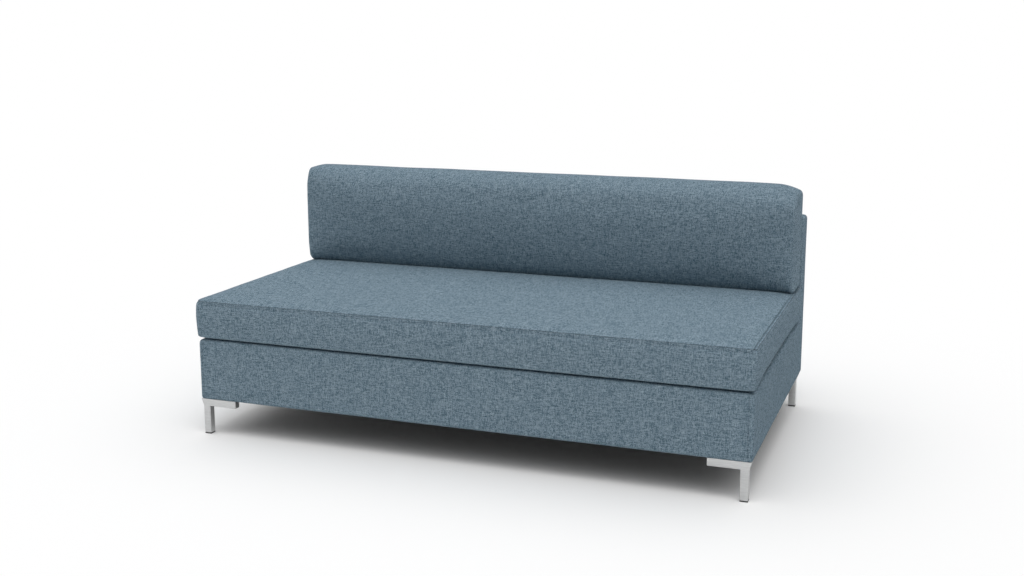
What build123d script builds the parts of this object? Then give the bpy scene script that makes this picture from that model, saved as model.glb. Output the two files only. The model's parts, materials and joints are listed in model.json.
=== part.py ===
"""Armless two-cushion sofa: a padded plywood base and back on four steel legs, with one long seat cushion
and one long back cushion that lift off. Millimetres. +Z is up, the front faces -Y, and the origin is on the
floor under the middle of the sofa's outline."""

import os

from build123d import *

os.makedirs("parts", exist_ok=True)

# --- Driving dimensions ---------------------------------------------------------------------------------
inch = 25.4

# the upholstered frame
frame_width = 76 * inch  # across the base, end to end
sofa_depth = 43 * inch  # front of the seat cushion to the back of the frame
leg_height = 5 * inch  # floor to the underside of the base
base_top = 341.0
back_top = 728.0  # top of the back frame
back_depth = 106.0  # front to rear of the back frame
seat_proud = 4.0  # the seat cushion stands this far in front of the base

# the cushions
seat_swell = 4.0  # the seat cushion stands this far past each end of the base
seat_edge_top = 474.0
seat_crown = 6.0
seat_boxing_swell = 3.0  # its front and ends bulge by this much at mid-height
seat_bottom_rounding = 26.0
seat_bottom_rear_rounding = 18.0
seat_top_rounding = 7.0
seat_top_rear_rounding = 8.0
upright_rounding = 16.0  # the cushions' upright corners
drawn_in = 2.0  # the cushions' sides pull in between the corners by this much
cushion_gap = 0.4  # clear space under each loose cushion
behind_seat = 2.0  # between the seat cushion and the back frame
behind_back = 1.5  # between the back cushion and the back frame
back_cushion_top = 825.0
back_cushion_front = 234.0  # Y of the back cushion's fullest point
back_cushion_inset = 3.5  # at each end, from the end of the frame
back_crown = 3.0
back_fullness = 26.0  # its front bulges by this much at mid-height
back_end_swell = 2.0
back_top_front_rounding = 62.0
back_top_rear_rounding = 34.0
back_top_end_rounding = 30.0
back_bottom_front_rounding = 44.0
back_bottom_rear_rounding = 26.0
back_bottom_end_rounding = 14.0
back_front_upright_rounding = 26.0
back_rest_rise = 3.1  # the seat's crown under the front of the back cushion

# cloth, padding and boards
cloth = 1.5
side_padding = 10.2
front_padding = 8.0
inside_back_padding = 15.0
outside_back_padding = 7.0
top_padding = 12.5
deck_padding = 16.5
felt = 2.0
cushion_wrap = 10.0
board = 25.0
front_board = 28.0
fibreboard = 3.0
webbing = 3.0
end_cover_wrap = 15.0  # the end covers turn this far round onto the front, top and rear
front_lip = 120.0  # the front cover runs back over the deck by this much
front_hem = 30.0  # and under the base by this much
rear_hem_inset = 26.0  # from the rear face to the edge of the dust cover
tack_rail_drop = 4.0  # the tack rail starts this far under the top of the base
tack_rail_rise = 56.0  # and ends this far over it
spring_rail_lift = 70.0  # from the underside of the frame to the spring rail
post_x = 310.0
post_width = 45.0
leg_block_size = (160.0, 90.0, 38.0)

# rounding of the upholstered frame
edge_top = 22.0
edge_bottom = 9.0
edge_upright = 14.0
back_edge_front = 12.0
back_edge_rear = 24.0
heel = 16.0  # the bottom rear edge
sharpest = 1.0  # no rounding gets smaller than this
eased_edge = 8.0  # the boards' own bottom rear edge, so that the cover turns round it

# steel legs: square tube, a short bar under the base and a post
tube = 1 * inch
tube_wall = 2.0
leg_bar = 137.0  # length of the bar
leg_plate = 4.0
leg_plate_reach = 76.0  # how far the plate runs in under the base
leg_inset = 1.0  # from the end of the base to the outer end of the bar
post_inset = 9.0  # from the outer end of the bar
front_leg_inset = 2.0  # from the front face of the base
rear_leg_inset = 28.7  # from the rear face of the base
glide_height = 4.0
plug_height = 20.0
plug_slack = 0.25
plug_headroom = 1.0

# fixings
bolt_x = (846.0, 912.0)
bolt_behind_rail = 20.0  # front bolts, from the rear face of the front rail
bolt_in_plate = 18.0  # rear bolts, from the inner edge of the leg's plate
bolt_radius = 4.0
bolt_hole = 4.5
block_bore = 5.0
dust_hole = 6.0  # round each bolt
bolt_head_flats = 13.0
bolt_head_height = 5.3
bolt_tip_over_block = 3.0
nut_flange_radius = 9.5
nut_flange = 1.5
nut_barrel = 12.0
nut_gap = 0.05
screw_radius = 2.4
screw_head_radius = 4.8
screw_head_depth = 3.0
screw_length = 60.0
base_screw_heights = (160.0, 223.0, 290.0)
spring_rail_screw_heights = (225.0, 290.0, 370.0)
top_screw_inset = 18.0

# springs
spring_count = 9
spring_pitch = 200.0  # from spring to spring along X
wire_radius = 1.7
bend_count = 18  # bends along each spring
straight_half = 8.0  # half of each straight run between bends
wire_rise = 3.0  # wire centre over the rail
clip_width = 14.0
clip_depth = 12.0
clip_height = 5.9
clip_headroom = 0.1
clip_slack = 0.05
clip_from_board = 14.0
strap_count = 8  # webbing straps in the back
strap_pitch = 225.0
strap_width = 50.0
strap_trim = 6.0  # from a strap's end to the edge of its rail

# zips
zip_length = 1560.0
zip_width = 28.0
seat_zip_z = 410.0
back_zip_z = 540.0
zip_recess = 6.0
zip_wall = 1.0
teeth_width = 6.0
teeth_height = 1.6
teeth_end_room = 4.0
slider_gap = 0.2
slider_size = (15.0, 2.4, 12.0)
slider_chamfer = 3.0
slider_end_room = 20.0
pull_tab = (24.0, 1.0, 6.0)
tab_lift = 0.6
tab_overlap = 3.0
tab_eye_radius = 1.6
tab_eye_from_end = 3.5

# --- Places worked out from them ------------------------------------------------------------------------
end_x = frame_width / 2
rear_y = sofa_depth / 2
front_y = -rear_y
base_front = front_y + seat_proud
back_front = rear_y - back_depth

board_x = end_x - cloth - side_padding  # outer face of the side boards
inner_x = board_x - board
board_front = base_front + cloth + front_padding
rail_back = board_front + front_board
board_rear = rear_y - cloth - outside_back_padding - fibreboard
rear_rail_front = board_rear - board
pad_front = back_front + cloth + inside_back_padding  # front of the back frame's boards
rail_front = pad_front + webbing
spring_rail_back = rail_front + board
floor_of_frame = leg_height + cloth
deck_under = base_top - cloth - deck_padding
side_top = deck_under - felt
rail_top = side_top - clip_height - clip_headroom
board_top = back_top - cloth - top_padding
top_rail_under = board_top - board
spring_rail_under = floor_of_frame + spring_rail_lift
tack_rail = (base_top - tack_rail_drop, base_top + tack_rail_rise)
cover_split = end_x - end_cover_wrap  # where the end covers are sewn to the others
rear_hem = rear_y - rear_hem_inset
block_top = floor_of_frame + leg_block_size[2]
far = 2 * frame_width  # past everything


# --- Helpers --------------------------------------------------------------------------------------------
def slab_x(outline, x0, x1):
    """A YZ outline drawn out along X."""
    return extrude(Plane.YZ.offset(x0) * outline, x1 - x0)


def slab_y(outline, y0, y1):
    """An XZ outline drawn out along Y."""
    return extrude(Plane.XZ.offset(-y1) * outline, y1 - y0)


def slab_z(outline, z0, z1):
    """An XY outline drawn out along Z."""
    return extrude(Plane.XY.offset(z0) * outline, z1 - z0)


def block(x0, x1, y0, y1, z0, z1):
    size = (abs(x1 - x0), y1 - y0, z1 - z0)
    return Pos((x0 + x1) / 2, (y0 + y1) / 2, (z0 + z1) / 2) * Box(*size)


def rod(start, direction, length, radius):
    """A round bar from start along direction."""
    section = Plane(start, z_dir=direction) * Circle(radius)
    return extrude(section, length)


def soft_outline(u0, u1, v0, v1, radii, swells=(0, 0, 0, 0)):
    """A rectangle whose sides may swell outwards and whose corners are rounded.

    Corners and sides go anticlockwise from the low corner and the low side."""
    corners = [(u0, v0), (u1, v0), (u1, v1), (u0, v1)]
    outward = [(0, -1), (1, 0), (0, 1), (-1, 0)]
    sides = []
    for n, (start, push, swell) in enumerate(zip(corners, outward, swells)):
        stop = corners[(n + 1) % 4]
        if swell:
            middle = [(start[k] + stop[k]) / 2 + push[k] * swell for k in (0, 1)]
            sides.append(ThreePointArc(start, tuple(middle), stop))
        else:
            sides.append(Line(start, stop))
    shape = make_face(Wire(sides))
    for corner, radius in zip(corners, radii):
        if radius > 0:
            vertex = shape.vertices().sort_by_distance((corner[0], corner[1], 0))[0]
            shape = fillet(vertex, radius)
    return shape


def inset_radii(radii, inset):
    return [max(radius - inset, sharpest) for radius in radii]


flat = (0, 0, 0, 0)
face_shift = 0.03  # keeps the three prisms from sharing a plane
overrun = 50.0


def soft_solid(half_x, y_span, z_span, radii, swells=(flat, flat, flat)):
    """A padded block: the overlap of a YZ, an XZ and an XY outline, each with its own rounding and swell.

    half_x, y_span and z_span are the sizes before any side swells."""
    y0, y1 = y_span
    z0, z1 = z_span
    side_radii, face_radii, plan_radii = radii
    side_swells, face_swells, plan_swells = swells
    full_x = half_x + face_swells[1]
    full_y0 = y0 - side_swells[3]
    shift = face_shift
    side = soft_outline(y0, y1, z0, z1, side_radii, side_swells)
    face = soft_outline(-half_x, half_x, z0 - shift, z1 + shift, face_radii, face_swells)
    plan = soft_outline(-full_x - shift, full_x + shift, full_y0 - shift, y1 + shift, plan_radii, plan_swells)
    solid = slab_x(side, -full_x - overrun, full_x + overrun)
    solid &= slab_y(face, full_y0 - overrun, y1 + overrun)
    return solid & slab_z(plan, z0 - overrun, z1 + overrun)


def save(node, shape, colour):
    """Write one node. A list of shapes becomes one group of solids."""
    shapes = shape if isinstance(shape, list) else [shape]
    solids = [solid for one in shapes for solid in one.solids()]
    whole = solids[0] if len(solids) == 1 else Compound(solids)
    whole.label = node
    whole.color = Color(*colour)
    export_step(whole, "parts/" + node + ".step")


steel_grey = (0.80, 0.80, 0.81)
dark_steel = (0.45, 0.46, 0.48)
ply = (0.80, 0.66, 0.46)
blue_grey = (0.38, 0.46, 0.52)
foam_yellow = (0.93, 0.88, 0.68)
fibre_white = (0.92, 0.92, 0.90)
black = (0.08, 0.08, 0.09)
brown_board = (0.62, 0.47, 0.32)


# --- The upholstered frame's outer form -----------------------------------------------------------------
def upholstered(inset):
    """The base and the back together, with every face brought in by inset."""
    x = end_x - inset
    y1 = rear_y - inset
    z0 = leg_height + inset
    base_radii = (
        [edge_bottom, heel, sharpest, edge_top],
        [edge_bottom, edge_bottom, edge_top, edge_top],
        [edge_upright] * 4,
    )
    back_radii = (
        [sharpest, heel, back_edge_rear, back_edge_front],
        [edge_bottom, edge_bottom, edge_upright, edge_upright],
        [back_edge_front, back_edge_front, edge_upright, edge_upright],
    )
    base_radii = [inset_radii(one, inset) for one in base_radii]
    back_radii = [inset_radii(one, inset) for one in back_radii]
    base = soft_solid(x, (base_front + inset, y1), (z0, base_top - inset), base_radii)
    back = soft_solid(x, (back_front + inset, y1), (z0, back_top - inset), back_radii)
    return base + back


def leg_bolt_places():
    """Two bolts a leg, into the block in each corner."""
    for side in (-1, 1):
        for y in (rail_back + bolt_behind_rail, rear_y - rear_leg_inset - leg_plate_reach + bolt_in_plate):
            for x in bolt_x:
                yield side * x, y


bolt_places = list(leg_bolt_places())


def holes(radius, z0, z1):
    return [rod((x, y, z0), (0, 0, 1), z1 - z0, radius) for x, y in bolt_places]


# --- Covers: five panels of upholstery cloth, a deck cloth and a dust cover --------------------------------
def make_covers():
    skin = upholstered(0) - upholstered(cloth)
    left = block(-far, -cover_split, -far, far, 0, far)
    right = block(cover_split, far, -far, far, 0, far)
    middle = block(-cover_split, cover_split, -far, far, 0, far)
    save("end_cover_left", skin & left, blue_grey)
    save("end_cover_right", skin & right, blue_grey)
    skin = skin & middle

    deck_room = block(-far, far, base_front + front_lip, back_front, base_top - cloth, base_top)
    dust_room = block(-far, far, base_front + front_hem, rear_hem, leg_height, floor_of_frame)
    save("deck_cloth", skin & deck_room, black)
    dust_cover = skin & dust_room
    for hole in holes(dust_hole, 0, block_top):
        dust_cover -= hole
    save("dust_cover", dust_cover, black)
    skin = skin - deck_room - dust_room

    save("front_cover", skin & block(-far, far, -far, 0, 0, far), blue_grey)
    rear = skin & block(-far, far, 0, far, 0, far)
    save("inside_back_cover", rear & block(-far, far, 0, rear_hem, base_top - cloth, far), blue_grey)
    save("outside_back_cover", rear & block(-far, far, rear_hem, far, 0, far), blue_grey)


# --- Padding between the covers and the boards ----------------------------------------------------------
def make_padding():
    filling = upholstered(cloth)
    boards_rear = board_rear + fibreboard
    filling -= block(-board_x, board_x, board_front, boards_rear, 0, deck_under)
    filling -= block(-board_x, board_x, pad_front, boards_rear, 0, board_top)
    for side, word in ((-1, "left"), (1, "right")):
        end = filling & block(side * board_x, side * far, -far, far, 0, far)
        low = block(-far, far, -far, back_front + cloth, 0, far)
        save("base_end_pad_" + word, end & low, foam_yellow)
        save("back_end_pad_" + word, end - low, foam_yellow)
    filling = filling & block(-board_x, board_x, -far, far, 0, far)
    save("front_pad", filling & block(-far, far, -far, board_front, 0, far), foam_yellow)
    deck = block(-far, far, board_front, back_front + cloth, deck_under, base_top - cloth)
    save("deck_foam", filling & deck, foam_yellow)
    inside = block(-far, far, back_front + cloth, pad_front, deck_under, far)
    save("inside_back_pad", filling & inside, foam_yellow)
    over_rail = block(-far, far, pad_front, boards_rear, board_top, far)
    save("back_top_pad", filling & over_rail, foam_yellow)
    save("outside_back_pad", filling & block(-far, far, boards_rear, far, 0, far), fibre_white)


# --- Timber --------------------------------------------------------------------------------------------
def screw(x, y, z):
    """A countersunk screw driven in towards the middle of the sofa from the side board's outer face."""
    inwards = -1 if x > 0 else 1
    shank = rod((x, y, z), (inwards, 0, 0), screw_length, screw_radius)
    cone = Cone(screw_head_radius, screw_radius, screw_head_depth)
    face = Plane((x, y, z), x_dir=(0, 1, 0), z_dir=(inwards, 0, 0))
    return shank + face * Pos(0, 0, screw_head_depth / 2) * cone


def make_timber():
    back_mid = (rail_front + spring_rail_back) / 2
    screw_rows = [
        ((board_front + rail_back) / 2, base_screw_heights),
        ((rear_rail_front + board_rear) / 2, base_screw_heights),
        (back_mid, spring_rail_screw_heights),
    ]
    screws = [screw(side * board_x, y, z) for side in (-1, 1) for y, rows in screw_rows for z in rows]
    screws += [
        screw(side * board_x, y, board_top - board / 2)
        for side in (-1, 1)
        for y in (pad_front + top_screw_inset, board_rear - top_screw_inset)
    ]
    save("frame_screws", screws, dark_steel)

    def bored(shape):
        for one in screws:
            if shape.bounding_box().overlaps(one.bounding_box()):
                shape -= one
        return shape

    def eased(shape):
        """Takes the bottom rear edge off a board that the cover turns round."""
        corner = Plane.YZ.offset(-far) * Polyline(
            (board_rear - eased_edge, floor_of_frame), (board_rear, floor_of_frame),
            (board_rear, floor_of_frame + eased_edge), close=True,
        )
        return shape - extrude(make_face(corner), 2 * far)

    for side, word in ((-1, "left"), (1, "right")):
        outer, inner = side * board_x, side * inner_x
        side_rail = block(outer, inner, board_front, board_rear, floor_of_frame, side_top)
        save("side_rail_" + word, bored(eased(side_rail)), ply)
        upright = block(outer, inner, pad_front, board_rear, side_top, board_top)
        save("back_upright_" + word, bored(upright), ply)
        post = block(
            side * (post_x - post_width / 2), side * (post_x + post_width / 2),
            spring_rail_back, board_rear, rail_top, top_rail_under,
        )
        save("back_post_" + word, post, ply)
        stretcher = block(
            side * (post_x - post_width / 2), side * (post_x + post_width / 2),
            rail_back, rear_rail_front, floor_of_frame, spring_rail_under,
        )
        save("stretcher_" + word, stretcher, ply)
        block_length, block_depth, _ = leg_block_size
        for place, y0 in (("front", rail_back), ("rear", rear_rail_front - block_depth)):
            leg_block = block(
                side * (inner_x - block_length), side * inner_x,
                y0, y0 + block_depth, floor_of_frame, block_top,
            )
            for hole in holes(block_bore, 0, 2 * block_top):
                leg_block -= hole
            save("leg_block_" + place + "_" + word, leg_block, ply)

    rails = {
        "front_rail": (board_front, rail_back, floor_of_frame, rail_top),
        "rear_rail": (rear_rail_front, board_rear, floor_of_frame, rail_top),
        "spring_rail": (rail_front, spring_rail_back, spring_rail_under, rail_top),
        "tack_rail": (rail_front, spring_rail_back) + tack_rail,
        "top_rail": (rail_front, board_rear, top_rail_under, board_top),
    }
    for node, (y0, y1, z0, z1) in rails.items():
        save(node, bored(eased(block(-inner_x, inner_x, y0, y1, z0, z1))), ply)

    panel_foot = floor_of_frame + eased_edge
    panel = block(-board_x, board_x, board_rear, board_rear + fibreboard, panel_foot, board_top)
    save("outside_back_board", panel, brown_board)


# --- Springs, clips, felt and back webbing ----------------------------------------------------------------
def make_suspension():
    clip_front_y = board_front + clip_from_board
    clip_rear_y = (rail_front + spring_rail_back) / 2
    pitch = (clip_rear_y - clip_front_y) / bend_count
    wire_z = rail_top + wire_rise

    path = []
    side = -1
    for n in range(bend_count + 1):
        y = clip_front_y + n * pitch
        path.append(Line((-side * straight_half, y, wire_z), (side * straight_half, y, wire_z)))
        if n < bend_count:
            bulge = side * (straight_half + pitch / 2)
            path.append(
                ThreePointArc(
                    (side * straight_half, y, wire_z), (bulge, y + pitch / 2, wire_z),
                    (side * straight_half, y + pitch, wire_z),
                )
            )
        side = -side
    start = Plane(path[0].position_at(0), z_dir=path[0].tangent_at(0))
    spring = sweep(start * Circle(wire_radius), path=Wire(path))
    wire_length = sum(edge.length for edge in path)
    print("spring wire", round(wire_length), "mm, gap between runs", round(pitch - 2 * wire_radius, 2), "mm")

    places = [(n - (spring_count - 1) / 2) * spring_pitch for n in range(spring_count)]
    save("seat_springs", [Pos(x, 0, 0) * spring for x in places], dark_steel)

    clips = []
    across = clip_width / 2
    along = clip_depth / 2
    for x in places:
        for y in (clip_front_y, clip_rear_y):
            clip = block(x - across, x + across, y - along, y + along, rail_top, rail_top + clip_height)
            clip -= rod((x - clip_width, y, wire_z), (1, 0, 0), 2 * clip_width, wire_radius + clip_slack)
            clips.append(clip)
    save("spring_clips", clips, dark_steel)
    save("deck_felt", block(-board_x, board_x, board_front, pad_front, side_top, deck_under), fibre_white)

    straps = []
    half = strap_width / 2
    strap_z = (tack_rail[0] + strap_trim, board_top - strap_trim)
    for n in range(strap_count):
        x = (n - (strap_count - 1) / 2) * strap_pitch
        straps.append(block(x - half, x + half, pad_front, rail_front, *strap_z))
    save("back_webbing", straps, black)


# --- Legs, glides and their bolts -------------------------------------------------------------------------
def make_leg(side, front):
    """One leg, and the glide that plugs into the foot of its post."""
    node = ("front_" if front else "rear_") + ("left" if side < 0 else "right")
    face = base_front + front_leg_inset if front else rear_y - rear_leg_inset
    inwards = 1 if front else -1
    y0, y1 = sorted((face, face + inwards * tube))
    plate_y0, plate_y1 = sorted((face, face + inwards * leg_plate_reach))
    bar_outer = end_x - leg_inset
    bar_inner = bar_outer - leg_bar
    bar_low = leg_height - tube
    post_outer = bar_outer - post_inset
    post_inner = post_outer - tube

    bar = [
        (side * bar_inner, bar_low), (side * post_outer, bar_low),
        (side * bar_outer, leg_height), (side * bar_inner, leg_height),
    ]
    leg = slab_y(make_face(Polyline(*bar, close=True)), y0, y1)
    leg += block(side * post_outer, side * post_inner, y0, y1, glide_height, leg_height)
    plate_z = (leg_height - leg_plate, leg_height)
    leg += block(side * bar_inner, side * post_outer, plate_y0, plate_y1, *plate_z)
    bore_x = (side * (post_outer - tube_wall), side * (post_inner + tube_wall))
    bore_y = (y0 + tube_wall, y1 - tube_wall)
    plug_top = glide_height + plug_height
    leg -= block(*bore_x, *bore_y, glide_height, plug_top + plug_headroom)
    for hole in holes(bolt_hole, 0, 2 * leg_height):
        leg -= hole
    save("leg_" + node, leg, steel_grey)

    slack = plug_slack
    glide = block(side * post_outer, side * post_inner, y0, y1, 0, glide_height)
    glide += block(
        bore_x[0] - side * slack, bore_x[1] + side * slack,
        bore_y[0] + slack, bore_y[1] - slack, 0, plug_top,
    )
    save("glide_" + node, glide, black)
    print("foot", node, "centre", round(side * (post_outer + post_inner) / 2, 2), round((y0 + y1) / 2, 2))


def make_leg_fixings():
    """The bolts that hold the legs' plates, and the tee nuts that they turn into."""
    under = leg_height - leg_plate
    bolt_length = block_top + bolt_tip_over_block - under
    bolts = []
    nuts = []
    for x, y in bolt_places:
        hexagon = Pos(x, y) * RegularPolygon(bolt_head_flats / 2, 6, major_radius=False)
        head = slab_z(hexagon, under - bolt_head_height, under)
        bolts.append(head + rod((x, y, under), (0, 0, 1), bolt_length, bolt_radius))
        nut = rod((x, y, block_top), (0, 0, 1), nut_flange, nut_flange_radius)
        nut += rod((x, y, block_top - nut_barrel), (0, 0, 1), nut_barrel, block_bore - nut_gap)
        nut -= rod((x, y, 0), (0, 0, 1), 2 * block_top, bolt_radius + nut_gap)
        nuts.append(nut)
    save("leg_bolts", bolts, dark_steel)
    save("tee_nuts", nuts, dark_steel)


def make_legs():
    for side in (-1, 1):
        for front in (True, False):
            make_leg(side, front)
    make_leg_fixings()


# --- Cushions ---------------------------------------------------------------------------------------------
def seat_form(inset):
    """The seat cushion: a crowned top, swollen boxing, and sides drawn in between the corners."""
    side_radii = (seat_bottom_rounding, seat_bottom_rear_rounding, seat_top_rear_rounding, seat_top_rounding)
    face_radii = (seat_bottom_rounding, seat_bottom_rounding, seat_top_rounding, seat_top_rounding)
    radii = [inset_radii(one, inset) for one in (side_radii, face_radii, [upright_rounding] * 4)]
    swell = seat_boxing_swell
    swells = (
        (0, 0, seat_crown, swell),
        (0, swell, seat_crown + 1, swell),
        (-drawn_in, -drawn_in, 0, -drawn_in),
    )
    x = end_x + seat_swell - swell - inset
    y_span = (front_y + swell + inset, back_front - behind_seat - inset)
    z_span = (base_top + cushion_gap + inset, seat_edge_top - inset)
    return soft_solid(x, y_span, z_span, radii, swells)


def back_form(inset):
    """The back cushion: a full front, a big roll along the top, and soft ends."""
    side_radii = (
        back_bottom_front_rounding, back_bottom_rear_rounding, back_top_rear_rounding, back_top_front_rounding
    )
    face_radii = (back_bottom_end_rounding,) * 2 + (back_top_end_rounding,) * 2
    plan_radii = (back_front_upright_rounding,) * 2 + (upright_rounding,) * 2
    radii = [inset_radii(one, inset) for one in (side_radii, face_radii, plan_radii)]
    swells = (
        (0, 0, back_crown, back_fullness),
        (0, back_end_swell, back_crown, back_end_swell),
        (2 * drawn_in, -drawn_in, 0, -drawn_in),
    )
    x = end_x - back_cushion_inset - back_end_swell - inset
    y_span = (back_cushion_front + back_fullness + inset, back_front - behind_back - inset)
    z0 = seat_edge_top + back_rest_rise + cushion_gap + inset
    return soft_solid(x, y_span, (z0, back_cushion_top - back_crown - inset), radii, swells)


def make_zip_slider(name, x, y, z):
    """A zip's slider with its pull tab, resting at x with its rear face at y."""
    length, thickness, width = slider_size
    body = Pos(x, y + thickness / 2, z) * Box(length, thickness, width)
    body = chamfer(body.edges().filter_by(Axis.Y), slider_chamfer)
    tab_length, tab_thickness, tab_width = pull_tab
    tab_x = x - length / 2 - tab_length / 2 + tab_overlap
    tab = Pos(tab_x, y + tab_thickness / 2 + tab_lift, z) * Box(tab_length, tab_thickness, tab_width)
    tab_end = tab_x - tab_length / 2
    tab -= rod((tab_end + tab_eye_from_end, y, z), (0, 1, 0), 2 * thickness, tab_eye_radius)
    save(name, body + tab, steel_grey)
    travel = tab_end - slider_end_room + zip_length / 2
    print(name, "travel", round(travel, 1), "mm")


def make_cushion(name, form, rear, zip_z):
    """A cushion's cover, fibre wrap, foam core, zip and zip slider."""
    half_length = zip_length / 2
    half_width = zip_width / 2
    zip_floor = rear - zip_recess + zip_wall
    recess = block(
        -half_length, half_length, rear - zip_recess, rear - cloth, zip_z - half_width, zip_z + half_width
    )
    slot = block(
        -half_length + zip_wall, half_length - zip_wall, zip_floor, rear + cloth,
        zip_z - half_width + zip_wall, zip_z + half_width - zip_wall,
    )
    outer = form(0)
    middle = form(cloth)
    inner = form(cloth + cushion_wrap)
    save(name + "_cover", outer - middle - slot, blue_grey)
    save(name + "_wrap", middle - inner - recess, fibre_white)
    save(name + "_core", inner, foam_yellow)

    teeth_end = half_length - teeth_end_room
    teeth_top = zip_floor + teeth_height
    teeth = block(
        -teeth_end, teeth_end, zip_floor, teeth_top, zip_z - teeth_width / 2, zip_z + teeth_width / 2
    )
    save(name + "_zip", recess - slot + teeth, black)
    slider_x = half_length - slider_end_room - slider_size[0] / 2
    make_zip_slider(name + "_zip_slider", slider_x, teeth_top + slider_gap, zip_z)


make_covers()
make_padding()
make_timber()
make_suspension()
make_legs()
make_cushion("seat", seat_form, back_front - behind_seat, seat_zip_z)
make_cushion("back", back_form, back_front - behind_back, back_zip_z)
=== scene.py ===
# The looks of the armless sofa: cloth covers, two loose cushions, steel legs and their fixings.
import json
import math
import random

import bmesh
import bpy
from mathutils import Matrix, Vector, noise
from mathutils.bvhtree import BVHTree
from mathutils.kdtree import KDTree


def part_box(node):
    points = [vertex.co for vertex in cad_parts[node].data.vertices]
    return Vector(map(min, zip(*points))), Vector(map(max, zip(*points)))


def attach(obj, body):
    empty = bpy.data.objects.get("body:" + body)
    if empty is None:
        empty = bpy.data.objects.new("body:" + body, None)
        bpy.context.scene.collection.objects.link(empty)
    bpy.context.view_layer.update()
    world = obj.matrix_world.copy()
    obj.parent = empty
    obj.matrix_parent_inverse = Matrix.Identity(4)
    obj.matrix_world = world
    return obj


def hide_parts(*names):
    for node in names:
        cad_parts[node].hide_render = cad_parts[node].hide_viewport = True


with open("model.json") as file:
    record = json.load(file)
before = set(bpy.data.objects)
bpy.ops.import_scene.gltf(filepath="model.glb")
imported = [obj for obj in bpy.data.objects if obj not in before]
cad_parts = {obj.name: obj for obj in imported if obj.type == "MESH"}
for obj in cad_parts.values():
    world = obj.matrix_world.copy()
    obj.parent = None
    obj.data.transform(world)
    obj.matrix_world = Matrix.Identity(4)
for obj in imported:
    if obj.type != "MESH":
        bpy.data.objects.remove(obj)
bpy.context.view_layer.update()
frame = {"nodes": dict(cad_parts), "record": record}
print("frame loaded:", len(frame["nodes"]), "nodes")

mm = 0.001
scene = bpy.context.scene
bodyOf = {node: body for body, nodes in frame["record"]["behaviour"]["bodies"].items() for node in nodes}


# small helpers

def paint(hexColour):
    # sRGB hex to the linear colour that the sockets take
    channels = [int(hexColour[k:k + 2], 16) / 255 for k in (1, 3, 5)]
    linear = [c / 12.92 if c <= 0.04045 else ((c + 0.055) / 1.055) ** 2.4 for c in channels]
    return (*linear, 1.0)


def addNode(tree, kind, inputs=None, into=None, stops=None, **settings):
    # inputs: for each socket a value, an output or a node, which stands for its first output;
    # into: the socket that takes the first output; stops: the places and colours of a ramp
    node = tree.nodes.new("ShaderNode" + kind)
    for name, value in settings.items():
        setattr(node, name, value)
    for socket, value in (inputs or {}).items():
        if isinstance(value, bpy.types.Node):
            value = value.outputs[0]
        if isinstance(value, bpy.types.NodeSocket):
            tree.links.new(value, node.inputs[socket])
        else:
            node.inputs[socket].default_value = value
    if stops:
        ramp = node.color_ramp
        while len(ramp.elements) < len(stops):
            ramp.elements.new(0.5)
        for element, (place, colour) in zip(ramp.elements, stops):
            element.position = place
            element.color = paint(colour)
    if into:
        tree.links.new(node.outputs[0], into)
    return node


def startMaterial(name, **sockets):
    # a Principled surface with its constant values on its own sockets
    material = bpy.data.materials.new(name)
    material.use_nodes = True
    tree = material.node_tree
    surface = tree.nodes["Principled BSDF"]
    for socket, value in sockets.items():
        surface.inputs[socket.replace("_", " ")].default_value = value
    return material, tree, surface


def newObject(name, bm):
    mesh = bpy.data.meshes.new(name)
    bm.to_mesh(mesh)
    bm.free()
    made = bpy.data.objects.new(name, mesh)
    scene.collection.objects.link(made)
    return made


def makePiece(name, bm, material, stands=(), body=None, crease=None):
    # crease: faces that meet at more than this many degrees keep a sharp edge
    piece = newObject(name, bm)
    piece.data.materials.append(material)
    piece.data.shade_smooth()
    if crease:
        piece.data.set_sharp_from_angle(angle=math.radians(crease))
    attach(piece, body or bodyOf[stands[0]])
    if stands:
        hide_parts(*stands)
    return piece


def everything(bm):
    return bm.verts[:] + bm.edges[:] + bm.faces[:]


def cut(bm, axis, places):
    # slices the whole mesh across one axis at each place
    across = Vector([float(k == axis) for k in range(3)])
    for place in places:
        bmesh.ops.bisect_plane(bm, geom=everything(bm), dist=1e-6, plane_co=across * place, plane_no=across)


def addBlock(bm, lo, hi):
    lo, hi = Vector(lo), Vector(hi)
    made = bmesh.ops.create_cube(bm, size=1.0)["verts"]
    bmesh.ops.scale(bm, vec=hi - lo, verts=made)
    bmesh.ops.translate(bm, vec=(lo + hi) / 2, verts=made)
    return made


def roundEdges(bm, edges, radius, segments=3):
    bmesh.ops.bevel(
        bm, geom=edges, offset=radius, offset_type="OFFSET", segments=segments, profile=0.5,
        affect="EDGES", clamp_overlap=True, material=-1,
    )


def addPrism(bm, corners, by):
    # an outline pushed along into a solid
    face = bm.faces.new([bm.verts.new(corner) for corner in corners])
    pushed = bmesh.ops.extrude_face_region(bm, geom=[face])["geom"]
    bmesh.ops.translate(bm, vec=by, verts=[v for v in pushed if isinstance(v, bmesh.types.BMVert)])
    bmesh.ops.recalc_face_normals(bm, faces=bm.faces[:])


def edgesAlong(bm, axis, verts):
    # the edges between these verts that run along one axis
    found = []
    for edge in bm.edges:
        a, b = edge.verts
        if a in verts and b in verts and abs(a.co[axis] - b.co[axis]) > 0.5 * mm:
            found.append(edge)
    return found


def addRod(bm, start, end, radius, sides=16):
    start, end = Vector(start), Vector(end)
    turn = (end - start).to_track_quat("Z", "Y").to_matrix().to_4x4()
    return bmesh.ops.create_cone(
        bm, cap_ends=True, segments=sides, radius1=radius, radius2=radius, depth=(end - start).length,
        matrix=Matrix.Translation((start + end) / 2) @ turn,
    )["verts"]


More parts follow.
